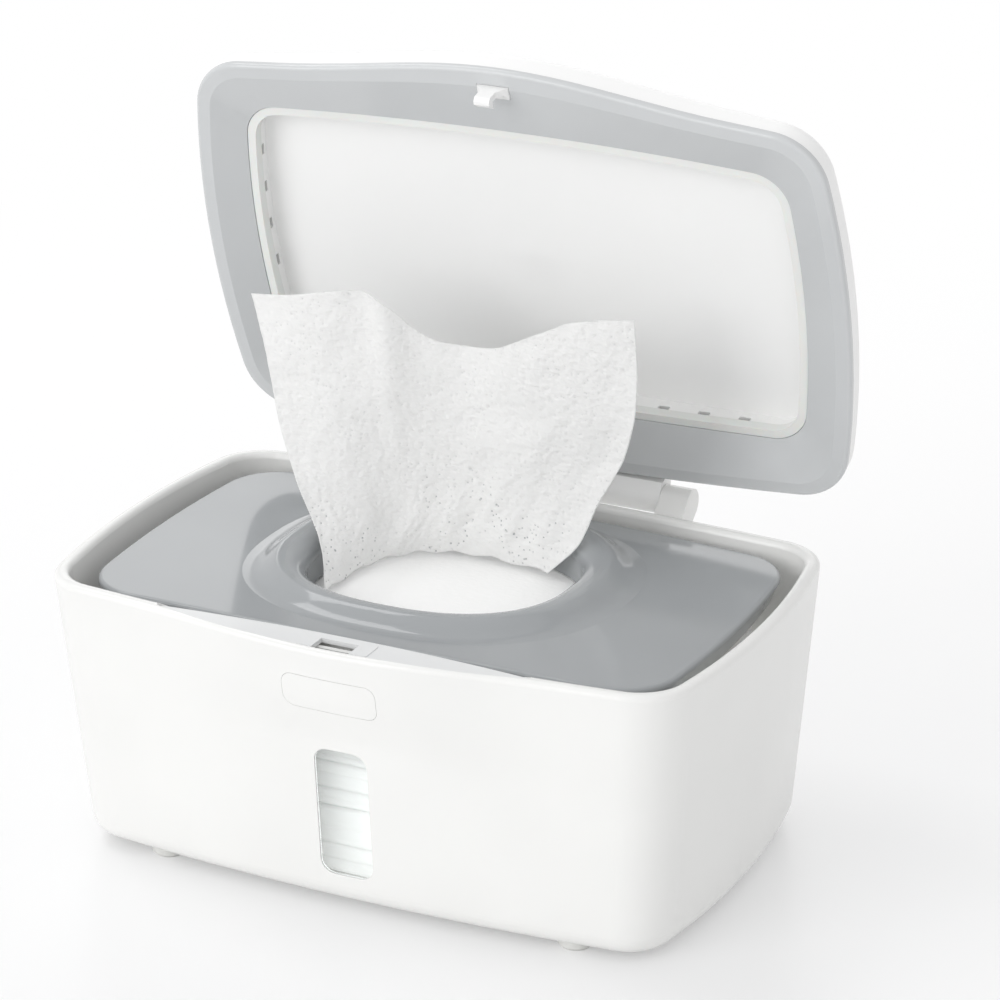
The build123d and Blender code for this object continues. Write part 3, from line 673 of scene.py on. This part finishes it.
def through(stations, values, u):
    """Smooth curve through the values at the stations."""
    u = min(max(u, stations[0]), stations[-1])
    k = 0
    while k < len(stations) - 2 and u > stations[k + 1]:
        k += 1

    def slope(i):
        a, b = max(i - 1, 0), min(i + 1, len(stations) - 1)
        return (values[b] - values[a]) / (stations[b] - stations[a])

    span = stations[k + 1] - stations[k]
    t = (u - stations[k]) / span
    start, end = slope(k) * span, slope(k + 1) * span
    rise = values[k + 1] - values[k]
    square = 3 * rise - 2 * start - end
    cube = start + end - 2 * rise
    return values[k] + t * start + t * t * square + t ** 3 * cube


def level_point(s, z):
    """Point of the calm sheet and its unit normal, as x, y, normal x, normal y."""
    ends = [[through(HEIGHTS, track, z) for track in pair] for pair in TRACKS]
    spread = MIDDLE * (1 - MIDDLE)
    # A parabola through the three points, and its direction
    weights = (
        (s - MIDDLE) * (s - 1) / MIDDLE,
        -s * (s - 1) / spread,
        s * (s - MIDDLE) / (1 - MIDDLE),
    )
    rates = (
        (2 * s - 1 - MIDDLE) / MIDDLE,
        -(2 * s - 1) / spread,
        (2 * s - MIDDLE) / (1 - MIDDLE),
    )
    x, y = (sum(w * end[axis] for w, end in zip(weights, ends)) for axis in (0, 1))
    way = Vector([sum(r * end[axis] for r, end in zip(rates, ends)) for axis in (0, 1)])
    way.normalize()
    return x, y, -way.y, way.x


def relief(s, t):
    """How far the sheet stands off its calm surface, at shares of its width and height."""
    away = sum(off * bell(s, centre, width) * t ** power for centre, width, off, power in LOBES)
    for base, tip, height in RIDGES:
        rise = max(0.0, 1 - t / RIDGES_END)
        centre = base + (tip - base) * t / RIDGES_LEANT
        away -= height * rise * bell(s, centre, 0.035 + 0.05 * t)
    # Small pleats that fade upwards
    away += 0.5 * (1 - t) ** 2 * math.sin(s * 46 + 2.5 * t + 2 * math.sin(s * 9))
    # Long soft creases, then the pebbled face, from coarse to fine
    away += 0.45 * math.sin((s + 0.1 * t) * 21 + 1.2)
    away += 1.5 * noise.noise((s * 5.5, t * 3.2, 3.1)) * (0.3 + t)
    away += 0.7 * noise.noise((s * 14, t * 8, 9.7))
    away += 0.32 * noise.noise((s * 44, t * 30, 5.3))
    # The foot is held at the hole's edge
    return away * min(1, 0.15 + t * 6)


points = []
for i in range(WIPE_ROWS):
    t = i / (WIPE_ROWS - 1)
    for j in range(WIPE_COLUMNS):
        s = j / (WIPE_COLUMNS - 1)
        foot = FOOT_Z + 0.5 * math.sin(s * 41)
        z = foot + (through(TOP_AT, TOP_Z, s) - foot) * t
        x, y, nx, ny = level_point(s, z)
        away = relief(s, t)
        droop = 0.8 * noise.noise((s * 8, t * 2, 21.0)) * t
        points.append(at(x + nx * away, y + ny * away, z + droop))
wipe = make_piece("pulled_wipe_sheet", points, grid_faces(WIPE_ROWS, WIPE_COLUMNS), wipe_cloth)
thick = wipe.modifiers.new("thickness", "SOLIDIFY")
thick.thickness = WIPE_THICK * MM
thick.offset = 0
bpy.context.view_layer.update()
solid = bpy.data.meshes.new_from_object(
    wipe.evaluated_get(bpy.context.evaluated_depsgraph_get())
)
wipe.modifiers.clear()
wipe.data = solid
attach(wipe, "plate")
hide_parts("pulled_wipe")
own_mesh(wipe)


# Light and backdrop, in metres

def soft_light(name, place, target, size, power):
    """Square area lamp aimed at a point."""
    lamp = bpy.data.objects.new(name, bpy.data.lights.new(name, "AREA"))
    lamp.data.size = size
    lamp.data.energy = power
    lamp.location = place
    lamp.rotation_euler = (Vector(target) - Vector(place)).to_track_quat("-Z", "Y").to_euler()
    scene.collection.objects.link(lamp)


soft_light("key", (-2.2, -4.2, 1.7), target=(0, 0, 0.12), size=3.0, power=75)
soft_light("fill", (2.2, -4.4, 1.2), target=(0, 0, 0.12), size=3.0, power=17)
soft_light("top", (-1.3, 0.2, 2.2), target=(0, 0, 0.1), size=1.0, power=9)
soft_light("rear", (-0.95, 1.95, 0.95), target=(0, 0, 0.1), size=1.2, power=3.2)

# The studio lights the part with a dimmer white than the one that is looked at
world = bpy.data.worlds.new("studio")
scene.world = world
world.use_nodes = True
tree = world.node_tree
tree.nodes.clear()
lit = add_node(tree, "ShaderNodeBackground", {"Color": linear("F7F7F8"), "Strength": 0.79})
plain = add_node(tree, "ShaderNodeBackground", {"Color": WHITE, "Strength": 1.0})
add_node(tree, "ShaderNodeOutputWorld", {"Surface": mixed(tree, looked_at(tree), lit, plain)})

# Pale table top that runs out of sight
TABLE_HALF = 6.0
corners = [
    (x * TABLE_HALF, y * TABLE_HALF, 0) for x, y in ((-1, -1), (1, -1), (1, 1), (-1, 1))
]
mesh = bpy.data.meshes.new("table")
mesh.from_pydata(corners, [], [(0, 1, 2, 3)])
table = bpy.data.objects.new("table", mesh)
scene.collection.objects.link(table)
# Lacquered board: satin by the part, and whiter further away, as it runs into the backdrop
GLOW_FROM, GLOW_FULL = 0.15, 0.75
paint, tree, shader, place = new_material(
    "white lacquered board", **{"Base Color": linear("F6F6F6"), "Roughness": 0.32, "IOR": 1.45}
)
glow = add_node(tree, "ShaderNodeEmission", {"Color": WHITE, "Strength": 1.0})
away = add_node(tree, "ShaderNodeVectorMath", {0: place}, operation="LENGTH")
level = ramp(tree, away.outputs["Value"], GLOW_FROM, GLOW_FULL, low=0.3, high=1)
show(tree, mixed(tree, product(tree, looked_at(tree), level), shader, glow))
mesh.materials.append(paint)

scene.view_settings.view_transform = "Standard"
